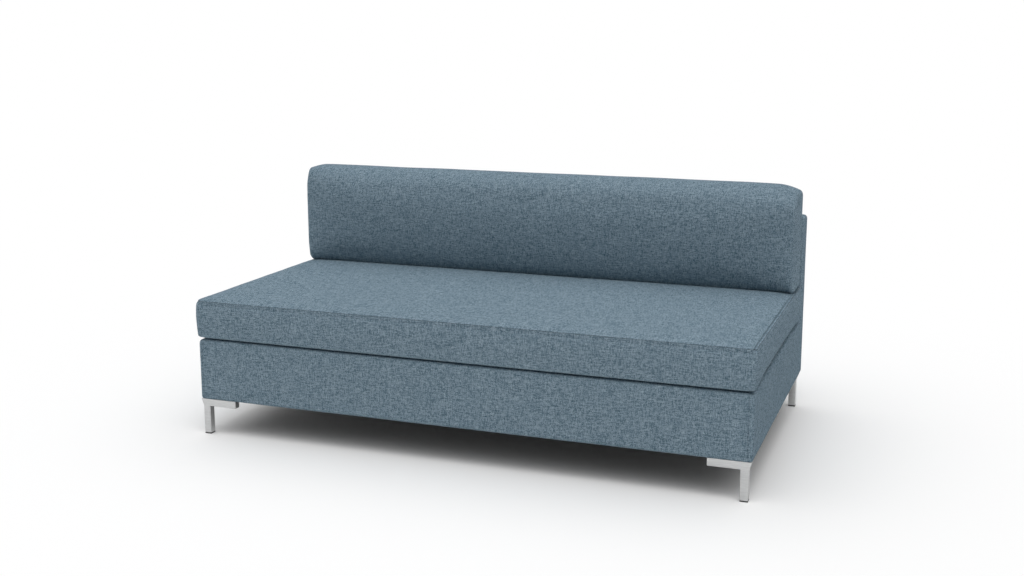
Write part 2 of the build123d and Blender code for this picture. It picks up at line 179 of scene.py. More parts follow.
def applyModifiers(piece):
    graph = bpy.context.evaluated_depsgraph_get()
    mesh = bpy.data.meshes.new_from_object(piece.evaluated_get(graph))
    piece.modifiers.clear()
    piece.data = mesh


def addWall(piece, thickness):
    # cloth thickness, inwards from the surface
    wall = piece.modifiers.new("cloth", "SOLIDIFY")
    wall.thickness = thickness
    wall.offset = -1


def mapWeave(bm):
    # a UV map in metres, laid flat on each panel, so that the threads keep their size
    layer = bm.loops.layers.uv.new("UVMap")
    for face in bm.faces:
        n = [abs(c) for c in face.normal]
        flat = n.index(max(n))
        u, v = [(1, 2), (0, 2), (0, 1)][flat]
        for loop in face.loops:
            loop[layer].uv = (loop.vert.co[u], loop.vert.co[v])


# materials

tweed = {
    "dark": "#485E6B",
    "middle": "#708491",
    "light": "#98AAB6",
    "yarn": 1.5 * mm,   # the real yarn is about 1.2 mm; drawn coarser, or the weave wouldn't show
    "slubs": (30 * mm, 22 * mm),     # length of the thick and thin places along the weft and the warp
    "strays": 0.8,                   # how many yarns' width a yarn wanders to its side
    "strayScale": 45.0,              # per metre: it swings about every 22 mm
    "patch": 90 * mm,
    "contrast": 6.2,
    "relief": 0.5 * mm,
}


def makeTweed(name, tone):
    # heathered polyester and linen tweed, plain woven: matt, with broken light and dark yarns both ways
    material, tree, surface = startMaterial(name, Roughness=0.95)
    surface.inputs["Specular IOR Level"].default_value = 0.02
    uv = addNode(tree, "UVMap", uv_map="UVMap")
    wander = addNode(tree, "TexNoise", {"Vector": uv, "Scale": tone["strayScale"], "Detail": 1.0},
                     noise_dimensions="2D")
    drift = addNode(tree, "VectorMath", {0: wander.outputs["Color"], 1: (-0.5, -0.5, -0.5)}, operation="ADD")
    reach = tone["strays"] * tone["yarn"]
    offset = addNode(tree, "VectorMath", {0: drift, "Scale": reach}, operation="SCALE")
    placed = addNode(tree, "VectorMath", {0: uv, 1: offset}, operation="ADD")
    perMetre = 1 / tone["yarn"]
    counted = addNode(tree, "VectorMath", {0: placed, "Scale": perMetre}, operation="SCALE")
    number = addNode(tree, "VectorMath", {0: counted}, operation="FLOOR")
    along = addNode(tree, "SeparateXYZ", {0: counted})
    which = addNode(tree, "SeparateXYZ", {0: number})

    both = addNode(tree, "Math", {0: which.outputs[0], 1: which.outputs[1]}, operation="ADD")
    over = addNode(tree, "Math", {0: both, 1: 2.0}, operation="FLOORED_MODULO")
    # every yarn reads a line of noise of its own, the weft's far from the warp's
    tones = []
    apart, weftStart = 7.31, 400.0
    for own, other, start, slub in ((0, 1, 0.0, tone["slubs"][1]), (1, 0, weftStart, tone["slubs"][0])):
        yarn = addNode(tree, "Math", {0: which.outputs[own], 1: apart, 2: start}, operation="MULTIPLY_ADD")
        run = addNode(tree, "Math", {0: along.outputs[other], 1: tone["yarn"] / slub}, operation="MULTIPLY")
        spot = addNode(tree, "CombineXYZ", {0: yarn, 1: run})
        tones.append(addNode(tree, "TexNoise", {"Vector": spot, "Scale": 1.0, "Detail": 5.0,
                                                "Roughness": 0.85}, noise_dimensions="2D"))
    woven = addNode(tree, "Mix", {0: over, 2: tones[0], 3: tones[1]})

    patchy = addNode(tree, "TexNoise", {"Vector": uv, "Scale": 1 / tone["patch"], "Detail": 2.0},
                     noise_dimensions="2D")
    gain = addNode(tree, "MapRange", {0: patchy, 1: 0.3, 2: 0.7, 3: 0.8 * tone["contrast"],
                                      4: 1.2 * tone["contrast"]})
    centred = addNode(tree, "Math", {0: woven, 1: -0.5}, operation="ADD")
    spread = addNode(tree, "Math", {0: centred, 1: gain, 2: 0.5}, operation="MULTIPLY_ADD")
    addNode(tree, "ValToRGB", {0: spread}, surface.inputs["Base Color"],
            ((0.0, tone["dark"]), (0.5, tone["middle"]), (1.0, tone["light"])))

    # each yarn stands up round between its neighbours
    rounds = []
    for side in (0, 1):
        turn = addNode(tree, "Math", {0: along.outputs[side], 1: math.pi}, operation="MULTIPLY")
        wave = addNode(tree, "Math", {0: turn}, operation="SINE")
        rounds.append(addNode(tree, "Math", {0: wave}, operation="ABSOLUTE"))
    pillow = addNode(tree, "Math", {0: rounds[0], 1: rounds[1]}, operation="MULTIPLY")
    height = addNode(tree, "Math", {0: spread, 1: 0.6, 2: pillow}, operation="MULTIPLY_ADD")
    addNode(tree, "Bump", {"Height": height, "Distance": tone["relief"], "Strength": 0.5},
            surface.inputs["Normal"])
    return material


wavePeriod = 0.314      # a wave texture of scale 1 repeats after this many metres


def makeCloth(name, base, fleck, thread, roughness, relief):
    # plain cloth with a fine even weave; threads drawn about twice as coarse as real
    material, tree, surface = startMaterial(name, Roughness=roughness, Sheen_Weight=0.08)
    place = addNode(tree, "UVMap", uv_map="UVMap")
    ribs = {"Vector": place, "Scale": wavePeriod / thread, "Distortion": 1.2, "Detail": 1.0,
            "Detail Scale": 2.0}
    warp, weft = (addNode(tree, "TexWave", ribs, bands_direction=direction) for direction in ("X", "Y"))
    weave = addNode(tree, "Math", {0: warp.outputs["Fac"], 1: weft.outputs["Fac"]}, operation="MULTIPLY")
    # uneven places about 70 mm apart
    worn = addNode(tree, "TexNoise", {"Vector": place, "Scale": 14.0, "Detail": 5.0})
    mixed = addNode(tree, "Math", {0: weave, 1: 0.5, 2: worn}, operation="MULTIPLY_ADD")
    addNode(tree, "ValToRGB", {0: mixed}, surface.inputs["Base Color"], ((0.35, base), (0.95, fleck)))
    addNode(tree, "Bump", {"Height": weave, "Distance": relief, "Strength": 0.6}, surface.inputs["Normal"])
    return material


def makeGrainy(name, dark, light, grain, relief, stretch=(1, 1, 1), contrast=(0.3, 0.7), **sockets):
    # a surface whose tone and height follow one drawn-out noise; grain is the size of its marks
    material, tree, surface = startMaterial(name, **sockets)
    spot = addNode(tree, "TexCoord")
    scale = [1 / (grain * s) for s in stretch]
    drawn = addNode(tree, "Mapping", {"Vector": spot.outputs["Object"], "Scale": scale})
    marks = addNode(tree, "TexNoise", {"Vector": drawn, "Scale": 1.0, "Detail": 4.0})
    stops = ((contrast[0], dark), (contrast[1], light))
    addNode(tree, "ValToRGB", {0: marks}, surface.inputs["Base Color"], stops)
    addNode(tree, "Bump", {"Height": marks, "Distance": relief, "Strength": 0.5}, surface.inputs["Normal"])
    return material


def makePlywood(name):
    # rotary-cut birch plywood: pale faces with long soft grain, and darker glue lines on the edges
    material, tree, surface = startMaterial(name, Roughness=0.62)
    spot = addNode(tree, "TexCoord")
    # the grain is some 330 mm long by 17 and 40 mm wide, and a ply 2.5 mm thick
    drawn = addNode(tree, "Mapping", {"Vector": spot.outputs["Object"], "Scale": (3.0, 60.0, 25.0)})
    grain = addNode(tree, "TexNoise", {"Vector": drawn, "Scale": 1.0, "Detail": 6.0})
    face = addNode(tree, "ValToRGB", {0: grain}, stops=((0.3, "#C09A69"), (0.7, "#DDBF92")))
    plies = addNode(tree, "TexWave", {"Vector": spot.outputs["Object"], "Scale": wavePeriod / (2.5 * mm),
                                      "Distortion": 0.6}, bands_direction="Y")
    lines = addNode(tree, "ValToRGB", {0: plies.outputs["Fac"]}, stops=((0.05, "#8C6A45"), (0.4, "#FFFFFF")))
    both = addNode(tree, "Mix", {0: 0.5, 6: face, 7: lines}, data_type="RGBA", blend_type="MULTIPLY")
    tree.links.new(both.outputs[2], surface.inputs["Base Color"])
    addNode(tree, "Bump", {"Height": grain, "Distance": 0.3 * mm, "Strength": 0.4}, surface.inputs["Normal"])
    return material


def makeBrushedSteel(name, dark, light, brush, roughness):
    # brushed nickel on steel: bright and slightly warm, with fine lines that blur what it reflects
    material = makeGrainy(
        name, dark, light, brush, 0.03 * mm, stretch=(12, 12, 1), contrast=(0.25, 0.75), Metallic=0.8,
    )
    tree = material.node_tree
    marks = tree.nodes["Noise Texture"]
    smooth, dull = roughness
    surface = tree.nodes["Principled BSDF"]
    addNode(tree, "MapRange", {0: marks, 1: 0.25, 2: 0.75, 3: smooth, 4: dull}, surface.inputs["Roughness"])
    return material


tweedCloth = makeTweed("heathered_tweed", tweed)
birchPly = makePlywood("birch_plywood")
legSteel = makeBrushedSteel("brushed_nickel_steel", "#C3C4C4", "#D6D7D7", 2.0 * mm, (0.28, 0.42))
# three dull cloths: woven linen and fleece nearly black, the zip's tape the sofa's own blue but deeper
deckLinen = makeCloth("black_deck_linen", "#16181B", "#30343A", 1.6 * mm, 0.95, 0.3 * mm)
dustFleece = makeCloth("spunbond_dust_cloth", "#0F1011", "#26282B", 2.2 * mm, 0.8, 0.25 * mm)
zipTape = makeCloth("woven_zip_tape", "#23303A", "#3C4C58", 1.0 * mm, 0.85, 0.15 * mm)
# zinc plate: a cold, even grey with a clear shine
fixingSteel = makeGrainy(
    "zinc_plated_steel", "#9A9C9E", "#BFC1C2", 3.0 * mm, 0.02 * mm, Metallic=1.0, Roughness=0.38,
)
# drawn wire with a film of oil: dark, with a dull metal shine
springSteel = makeGrainy(
    "oiled_spring_wire", "#2B2C2F", "#4A4B4E", 4.0 * mm, 0.04 * mm, Metallic=0.9, Roughness=0.45,
)
# cast zinc, plated: brighter and smoother than the fixings
sliderZinc = makeGrainy(
    "plated_zinc_casting", "#A7A9AA", "#C9CBCC", 1.5 * mm, 0.03 * mm, Metallic=1.0, Roughness=0.3,
)
# two moulded plastics, satin: the glides black, the zip's teeth dark blue
glidePlastic = makeGrainy("moulded_black_polythene", "#101112", "#1E1F21", 1.2 * mm, 0.05 * mm, Roughness=0.5)
zipNylon = makeGrainy("moulded_nylon_teeth", "#2A3842", "#3D4D58", 1.5 * mm, 0.02 * mm, Roughness=0.4)
# bonded thread: smoother than the cloth it sews, and drawn darker than it, so that it paints the shade in the
# seam's groove
seamShadeThread = makeGrainy("bonded_thread_painted_seam_shade", "#1E2A33", "#33424D", 0.8 * mm, 0.05 * mm, Roughness=0.6)
# cut foam: cream, matt and finely open
seatFoam = makeGrainy("cut_polyurethane_foam", "#D9CFA8", "#EFE8CC", 2.5 * mm, 0.5 * mm, Roughness=1.0)
# carded fibre: white and soft, its strands lying flat
fibreWadding = makeGrainy(
    "carded_polyester_wadding", "#D8D8D4", "#F1F1EE", 6.0 * mm, 1.2 * mm, (4, 4, 1), Roughness=1.0,
)
# pressed fibreboard: an even mid brown
hardboard = makeGrainy("pressed_fibreboard", "#6E4F33", "#94714C", 1.8 * mm, 0.1 * mm, Roughness=0.75)
# polypropylene webbing: black, ribbed along its length
webBand = makeGrainy(
    "woven_polypropylene_webbing", "#17181A", "#3A3C40", 3.0 * mm, 0.4 * mm, (1, 1, 8), Roughness=0.8,
)
print("materials made")


# the upholstered frame

covers = {
    "baseFront": 11 * mm,    # rounding of each kind of edge
    "baseEnd": 20 * mm,
    "baseBottom": 9 * mm,
    "upright": 14 * mm,
    "heel": 16 * mm,
    "backFront": 12 * mm,
    "backRear": 22 * mm,
    "segments": 5,
    "proud": 0.8 * mm,       # how far the cloth stands off the CAD form
    "thickness": 1.4 * mm,
    "seamDepth": 1.3 * mm,
    "topSeam": 0.6,          # this share of it is taken off where a seam faces up
    "seamRows": (1.6 * mm, 5 * mm),
    "softness": 0.7 * mm,
    "softSize": 110 * mm,
    "cell": 46 * mm,
    "margin": 30 * mm,       # the slices keep this far from an edge
    "marginLow": 20 * mm,    # and come closer at the bottom and where the back rises from the base
    "besideStep": 18 * mm,
}

frontLow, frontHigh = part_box("front_cover")
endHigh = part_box("end_cover_right")[1]
deckLow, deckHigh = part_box("deck_cloth")
dustLow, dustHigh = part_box("dust_cover")
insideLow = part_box("inside_back_cover")[0]
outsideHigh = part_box("outside_back_cover")[1]


def spaced(start, end, step):
    count = max(1, round((end - start) / step))
    return [start + (end - start) * n / count for n in range(count + 1)]


def frameForm():
    # the base and back as one solid, its outline drawn on the right-hand end and pushed across
    proud = covers["proud"]
    halfWidth = endHigh.x + proud
    front, rear = frontLow.y - proud, outsideHigh.y + proud
    low, deck, top = frontLow.z - proud, deckHigh.z + proud, endHigh.z + proud
    step = insideLow.y - proud
    bm = bmesh.new()
    outline = [(front, low), (rear, low), (rear, top), (step, top), (step, deck), (front, deck)]
    addPrism(bm, [(halfWidth, y, z) for y, z in outline], (-2 * halfWidth, 0, 0))

    cell, margin, marginLow, beside = (covers[key] for key in ("cell", "margin", "marginLow", "besideStep"))
    cut(bm, 0, spaced(-halfWidth + margin, halfWidth - margin, cell))
    cut(bm, 1, spaced(front + margin, step - beside, cell) + spaced(step + margin, rear - margin, cell))
    cut(bm, 2, spaced(low + marginLow, deck - margin, cell) + spaced(deck + beside, top - margin, cell))

    weight = bm.edges.layers.float.new("bevel_weight_edge")
    widest = covers["backRear"]
    for edge in bm.edges:
        if edge.calc_face_angle(0) < math.radians(60) or not edge.is_convex:
            continue
        a, b = edge.verts[0].co, edge.verts[1].co
        mid = (a + b) / 2
        run = [abs(a[k] - b[k]) for k in range(3)]
        along = run.index(max(run))
        atRear, atTop, atLow = mid.y > rear - mm, mid.z > top - mm, mid.z < low + mm
        inBack = mid.y > step - mm
        if along == 0 and atTop:
            kind = "backRear" if atRear else "backFront"
        elif along == 0:
            kind = "heel" if atRear else "baseBottom" if atLow else "baseFront"
        elif along == 1:
            kind = "baseBottom" if atLow else "upright" if atTop else "baseEnd"
        else:
            kind = "backFront" if inBack and not atRear else "upright"
        edge[weight] = covers[kind] / widest
    form = newObject("frameForm", bm)
    rounding = form.modifiers.new("rounding", "BEVEL")
    rounding.limit_method = "WEIGHT"
    rounding.width = widest
    rounding.segments = covers["segments"]
    rounding.use_clamp_overlap = False
    applyModifiers(form)
    bm = bmesh.new()
    bm.from_mesh(form.data)
    bpy.data.objects.remove(form)
    bmesh.ops.remove_doubles(bm, verts=bm.verts[:], dist=0.05 * mm)
    return bm


def seamPlaces(at):
    rows = covers["seamRows"]
    return [at - rows[1], at - rows[0], at, at + rows[0], at + rows[1]]


def makeCovers():
    bm = frameForm()
    split = frontHigh.x
    lip, hem, rearHem = deckLow.y, dustLow.y, dustHigh.y
    for seam in (-split, split):
        cut(bm, 0, seamPlaces(seam))
    cut(bm, 1, seamPlaces(lip) + seamPlaces(rearHem) + [hem])
    bm.normal_update()

    # soft unevenness over the padding
    for vert in bm.verts:
        spot = vert.co / covers["softSize"]
        vert.co += vert.normal * noise.noise(spot) * covers["softness"]
    mapWeave(bm)
    onDeck = deckHigh.z + 2 * mm     # nothing above this belongs to the seat

    def panelOf(face):
        at = face.calc_center_median()
        if abs(at.x) > split:
            return "end_cover_right" if at.x > 0 else "end_cover_left"
        if face.normal.z < -0.9 and at.z < dustHigh.z and hem < at.y < rearHem:
            return "dust"
        if face.normal.z > 0.9 and at.z < onDeck and lip < at.y < insideLow.y - covers["proud"]:
            return "deck"
        if at.y < 0:
            return "front_cover"
        return "inside_back_cover" if at.y < rearHem and at.z > deckLow.z else "outside_back_cover"

    panels = {face.index: panelOf(face) for face in bm.faces}
    for node in sorted(set(panels.values()) - {"dust", "deck"}):
        panel = bm.copy()
        panel.faces.ensure_lookup_table()
        others = [face for face in panel.faces if panels[face.index] != node]
        bmesh.ops.delete(panel, geom=others, context="FACES")
        panel.normal_update()
        # sewn edges turn in, so that two panels meet in a groove, which is shallower on top of the foam;
        # the inside back's lower edge goes straight down past the deck
        for vert in panel.verts:
            if vert.is_boundary and not (node == "inside_back_cover" and vert.co.z < onDeck):
                shallower = covers["topSeam"] * max(0.0, vert.normal.z)
                vert.co -= vert.normal * covers["seamDepth"] * (1 - shallower)
        piece = makePiece(node + "_cloth", panel, tweedCloth, (node,))
        addWall(piece, covers["thickness"])
    bm.free()


makeCovers()
print("covers made")

deckSheet = {
    "tuck": 4 * mm,          # goes this far under the covers at the front and ends
    "tuckBehind": 1.2 * mm,
    "below": 0.3 * mm,       # lies this far under the box of the CAD cloth
    "ripple": 1.0 * mm,
    "rippleSize": 130 * mm,
    "calm": 60 * mm,         # the ripples fade out this near its edges
    "cell": 24 * mm,
    "thickness": 0.8 * mm,
}

underside = {
    "tuck": (2.5 * mm, 6 * mm, 0),
    "below": 1.0 * mm,
    "sag": 2.2 * mm,
    "rippleSize": 160 * mm,
    "calm": 80 * mm,         # held flat this near its edges
    "calmAtLegs": 120 * mm,
    "cell": 30 * mm,
    "thickness": 0.5 * mm,
    "stapleGap": 62 * mm,
    "staple": (11 * mm, 1.3 * mm, 0.8 * mm),
    "stapleInset": 5 * mm,
    "stapleTurn": 14,        # most that one is turned, in degrees
    "endStaples": (60 * mm, 110 * mm),        # from the corners, along the long and the short edges
    "legRoom": (6 * mm, 60 * mm, 90 * mm),    # none over a leg: inwards, from the front and the rear edge
}


def flatCloth(low, high, z, cell):
    bm = bmesh.new()
    bmesh.ops.create_grid(bm, x_segments=1, y_segments=1, size=0.5)
    bmesh.ops.scale(bm, vec=(high.x - low.x, high.y - low.y, 1), verts=bm.verts[:])
    bmesh.ops.translate(bm, vec=((low.x + high.x) / 2, (low.y + high.y) / 2, z), verts=bm.verts[:])
    cut(bm, 0, spaced(low.x, high.x, cell)[1:-1])
    cut(bm, 1, spaced(low.y, high.y, cell)[1:-1])
    return bm


def fromEdge(place, low, high):
    return min(place.x - low.x, high.x - place.x, place.y - low.y, high.y - place.y)


def makeDeckCloth():
    size = deckSheet
    low = deckLow - Vector((size["tuck"], size["tuck"], 0))
    high = deckHigh + Vector((size["tuck"], size["tuckBehind"], 0))
    bm = flatCloth(low, high, deckHigh.z - size["below"], size["cell"])
    for vert in bm.verts:
        inside = fromEdge(vert.co, low, high)
        ripple = noise.noise(vert.co / size["rippleSize"]) * size["ripple"]
        vert.co.z += ripple * min(inside / size["calm"], 1.0)
    mapWeave(bm)
    piece = makePiece("deck_linen", bm, deckLinen, ("deck_cloth",))
    addWall(piece, size["thickness"])


def makeDustCover():
    size = underside
    low, high = dustLow - Vector(size["tuck"]), dustHigh + Vector(size["tuck"])
    z = dustLow.z - size["below"]
    bm = flatCloth(low, high, z, size["cell"])
    plateIn = -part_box("leg_front_left")[1].x
    for vert in bm.verts:
        inside = fromEdge(vert.co, low, high)
        clearOfLegs = max(0.0, plateIn - abs(vert.co.x)) / size["calmAtLegs"]
        slack = min(inside / size["calm"], 1.0) * min(clearOfLegs, 1.0)
        vert.co.z += (noise.noise(vert.co / size["rippleSize"]) - 0.6) * size["sag"] * slack
    mapWeave(bm)
    bmesh.ops.reverse_faces(bm, faces=bm.faces[:])
    piece = makePiece("dust_cloth", bm, dustFleece, ("dust_cover",))
    addWall(piece, size["thickness"])

    # staples round the edge, a little uneven as they come from the gun
    random.seed(4)
    bm = bmesh.new()
    long, wide, tall = size["staple"]
    inset, gap, turned = size["stapleInset"], size["stapleGap"], size["stapleTurn"]
    onLong, onShort = size["endStaples"]
    beside, ahead, behind = size["legRoom"]
    runs = []
    for y in (low.y + inset, high.y - inset):
        runs += [(x, y, 0) for x in spaced(low.x + onLong, high.x - onLong, gap)]
    for x in (low.x + inset, high.x - inset):
        runs += [(x, y, 90) for y in spaced(low.y + onShort, high.y - onShort, gap)]
    for x, y, turn in runs:
        if abs(x) > plateIn - beside and (y < low.y + ahead or y > high.y - behind):
            continue
        made = addBlock(bm, (-long / 2, -wide / 2, -tall), (long / 2, wide / 2, 0))
        angle = math.radians(turn + random.uniform(-turned, turned))
        bmesh.ops.rotate(bm, cent=(0, 0, 0), matrix=Matrix.Rotation(angle, 3, "Z"), verts=made)
        bmesh.ops.translate(bm, vec=(x, y, z), verts=made)
    makePiece("dust_cloth_staples", bm, fixingSteel, (), "frame", crease=30)


makeDeckCloth()
makeDustCover()
print("deck and dust cloths made")


# loose cushions

seatCushion = {
    "halfWidth": 968 * mm,
    "front": -547 * mm,
    "top": 479 * mm,
    "crown": 5 * mm,
    "crownPowers": (60, 20),   # how squarely it falls off towards the ends, and the front and rear
    "pressed": 0.7,            # how much of the crown the back cushion presses out
    "pressedFrom": 235 * mm,
    "pressedOver": 60 * mm,
    "bulge": 3 * mm,
    "bulgePower": 1.25,        # puts the fullest place of the front above its middle
    "corners": {("front", "top"): 4 * mm, ("rear", "top"): 9 * mm, ("front", "bottom"): 7 * mm,
                ("rear", "bottom"): 19 * mm},
    "ends": {"front": 14 * mm, "rear": 16 * mm, "top": 4 * mm, "bottom": 28 * mm},
    "lifted": {"front": 6.5 * mm, "ends": 3.5 * mm},     # the underside rises towards its edges
    "liftReach": 60 * mm,      # over this width, as the ends swell
    "seamDepth": 4.2 * mm,
    "stitched": True,
    "pucker": 0.9 * mm,
    "cell": 24 * mm,
    "puffCap": 3.5 * mm,       # the most that puffing up may move the cloth
    "thickness": 1.0 * mm,
}

backCushion = {
    "halfWidth": 962 * mm,
    "front": 259 * mm,         # Y of the front face before it fills out
    "fullness": 27 * mm,
    "roundness": 2.2,          # power of the front's profile in the middle
    "squareness": 5.5,         # and what it gains at the ends, where it is squarer
    "squarePower": 8,
    "top": 853.5 * mm,
    "droop": {-1: 0.5 * mm, 1: 22 * mm},      # the top falls by this much towards each end
    "droopReach": {-1: 60 * mm, 1: 75 * mm},
    "droopPower": 1.45,
    "droopFrom": 0.45,         # share of the height where it begins
    "corners": {("front", "top"): 60 * mm, ("rear", "top"): 34 * mm, ("front", "bottom"): 28 * mm,
                ("rear", "bottom"): 25 * mm},
    "endCorner": 18 * mm,      # the front top rounding tightens to this at the left end
    "endReach": 220 * mm,
    "domed": 4 * mm,           # and the top rises between its front and rear edges there
    "ends": {"front": 16 * mm, "rear": 15 * mm, "top": 11 * mm, "bottom": 10 * mm},
    "leftEndTop": 5 * mm,
    "seamDepth": 1.2 * mm,
    "stitched": False,
    "pucker": 0.8 * mm,
    "cell": 22 * mm,
    "puffCap": 5 * mm,
    "thickness": 1.0 * mm,
}

softness = {
    "size": 170 * mm,
    "depth": 1.3 * mm,
    "shift": Vector((7, 0, 0)),      # picks another part of the noise
    "puckerSize": 26 * mm,
    "puckerReach": 15 * mm,
    "seamRipple": 0.4,       # a seam's depth varies by this share
}
puffing = {
    "cell": 21 * mm,
    "frames": 20,
    "quality": 5,
    "mass": 0.4,
    "stretch": 20,
    "bend": 1.0,
    "pressure": 4.0,
    "blend": 0.6,            # a point follows the nearest ones within this many cells
    "nearest": 9,
}
wadding = {"drawnIn": 4.5 * mm, "clear": 1.6 * mm}
stitching = {"pitch": 6.5 * mm, "long": 5.2 * mm, "radius": 0.9 * mm, "proud": 0.4 * mm}
zipOpening = {
    "half": 779 * mm,
    "halfHeight": 13 * mm,
    "seat": 410 * mm,        # height above the floor
    "back": 540 * mm,
    "clear": 4 * mm,         # no other slice this near
    "lip": 4.4 * mm,
}
edgeRows = [1.9 * mm, 4.4 * mm, 9 * mm, 17 * mm, 26 * mm, 38 * mm, 52 * mm]


def smoothStep(t):
    t = min(max(t, 0.0), 1.0)
    return t * t * (3 - 2 * t)


def edged(low, high, cell):
    # slices close together near both edges and even between them
    half, last = (high - low) / 2, edgeRows[-1]
    if high - low > 3 * last:
        rows, inner = edgeRows[:-1], spaced(low + last, high - last, cell)
    else:
        rows, inner = [row for row in edgeRows if row < half - 2 * mm] + [half], []
    return sorted(set([low + r for r in rows] + [high - r for r in rows] + inner))


def onBar(place, low, high, corners, ends, swell):
    # moves a point of a box onto a bar along X with rounded, swollen sides and rounded ends
    half = (high - low) / 2
    centre = Vector((low.y + half.y, low.z + half.z))
    a, b = (place.y - centre.x) / half.y, (place.z - centre.y) / half.z
    ring = max(abs(a), abs(b), 1e-5)
    side = Vector((math.copysign(1, a), math.copysign(1, b)))
    edge = centre + Vector((a * half.y, b * half.z)) / ring
    radius = corners["rear" if a > 0 else "front", "top" if b > 0 else "bottom"]
    core = centre + Vector((side.x * (half.y - radius), side.y * (half.z - radius)))
    away = edge - core
    if away.x * side.x > 0 and away.y * side.y > 0:
        normal = away.normalized()
        edge = core + normal * radius
    else:
        normal = Vector((side.x, 0)) if abs(a) >= abs(b) else Vector((0, side.y))
    support = (edge - centre).dot(normal)
    endRadius = (ends["front"] if normal.x < 0 else ends["rear"]) * normal.x ** 2
    endRadius += (ends["top"] if normal.y > 0 else ends["bottom"]) * normal.y ** 2
    inward, along = (1 - ring) * support, high.x - abs(place.x)
    if inward < endRadius and along < endRadius:
        turned = Vector((along - endRadius, inward - endRadius)).normalized() * endRadius
        along, inward = endRadius + turned.x, endRadius + turned.y
    x = high.x - along
    swollen = edge + swell(edge, normal, x / high.x)
    at = centre + (swollen - centre) * (1 - inward / support)
    return Vector((math.copysign(x, place.x), at.x, at.y))


def mapBar(bm, low, high):
    # the weave runs on over the front, top, rear and bottom; the two ends have their own
    layer = bm.loops.layers.uv.new("UVMap")
    tall, deep = high.z - low.z, high.y - low.y
    for face in bm.faces:
        n = face.normal
        for loop in face.loops:
            x, y, z = loop.vert.co
            if abs(n.x) > 0.5:
                loop[layer].uv = (y, z)
            elif abs(n.z) > 0.5:
                loop[layer].uv = (x, y - low.y if n.z > 0 else -tall - (y - low.y))
            else:
                loop[layer].uv = (x, z - high.z if n.y < 0 else deep + high.z - z)


def shapeSeat(place, low, high):
    size = seatCushion
    tall = high.z - low.z

    def bulge(z):
        up = min(max((z - low.z) / tall, 0.0), 1.0)
        return size["bulge"] * math.sin(math.pi * up ** size["bulgePower"])

    def swell(edge, normal, u):
        v = (2 * edge.x - low.y - high.y) / (high.y - low.y)
        atEnds, across = size["crownPowers"]
        rise = size["crown"] * (1 - u ** atEnds) * (1 - abs(v) ** across) * max(0.0, normal.y) ** 2
        rise *= 1 - size["pressed"] * smoothStep((edge.x - size["pressedFrom"]) / size["pressedOver"])
        return Vector((-bulge(edge.y) * max(0.0, -normal.x) ** 2, rise))

    made = onBar(place, low, high, size["corners"], size["ends"], swell)
    reach = size["liftReach"]
    endward = smoothStep((abs(place.x) - high.x + reach) / reach)
    made.x += math.copysign(bulge(made.z) * endward, place.x)
    made.z += seatLift(made, low, high)
    return made


def seatLift(place, low, high):
    size = seatCushion
    reach = size["liftReach"]
    atFront = size["lifted"]["front"] * smoothStep(1 - (place.y - low.y) / reach)
    atEnds = size["lifted"]["ends"] * smoothStep(1 - (high.x - abs(place.x)) / reach)
    return max(atFront, atEnds) * smoothStep(1 - (place.z - low.z) / reach)


def shapeBack(place, low, high):
    size = backCushion
    side = -1 if place.x < 0 else 1
    nearEnd = smoothStep((abs(place.x) - high.x + size["endReach"]) / size["endReach"])
    corners, ends = dict(size["corners"]), dict(size["ends"])
    if side < 0:
        corners["front", "top"] += (size["endCorner"] - corners["front", "top"]) * nearEnd
        ends["top"] = size["leftEndTop"]

    def swell(edge, normal, u):
        s = min(max((edge.y - low.z) / (high.z - low.z), 0.0), 1.0)
        power = size["roundness"] + size["squareness"] * u ** size["squarePower"]
        v = (2 * edge.x - low.y - high.y) / (high.y - low.y)
        dome = size["domed"] * nearEnd * (1 - v * v) * max(0.0, normal.y) if side < 0 else 0.0
        return Vector((-size["fullness"] * (1 - abs(2 * s - 1) ** power) * max(0.0, -normal.x), dome))

    made = onBar(place, low, high, corners, ends, swell)
    reach = size["droopReach"][side]
    fall = max(0.0, (abs(made.x) - high.x + reach) / reach) ** size["droopPower"]
    up, start = (made.z - low.z) / (high.z - low.z), size["droopFrom"]
    upper = smoothStep((up - start) / (1 - start))
    made.z -= upper * size["droop"][side] * fall
    return made


def seatSeam(place, low, high):
    # distance to the seam round the top, along the cloth
    sideways = min(high.x - abs(place.x), place.y - low.y, high.y - place.y)
    return (high.z - place.z) + max(0.0, sideways)


def backSeam(place, low, high):
    # distance to the seams round the two end panels
    sideways = min(place.y - low.y, high.y - place.y, high.z - place.z, place.z - low.z)
    return (high.x - abs(place.x)) + max(0.0, sideways)


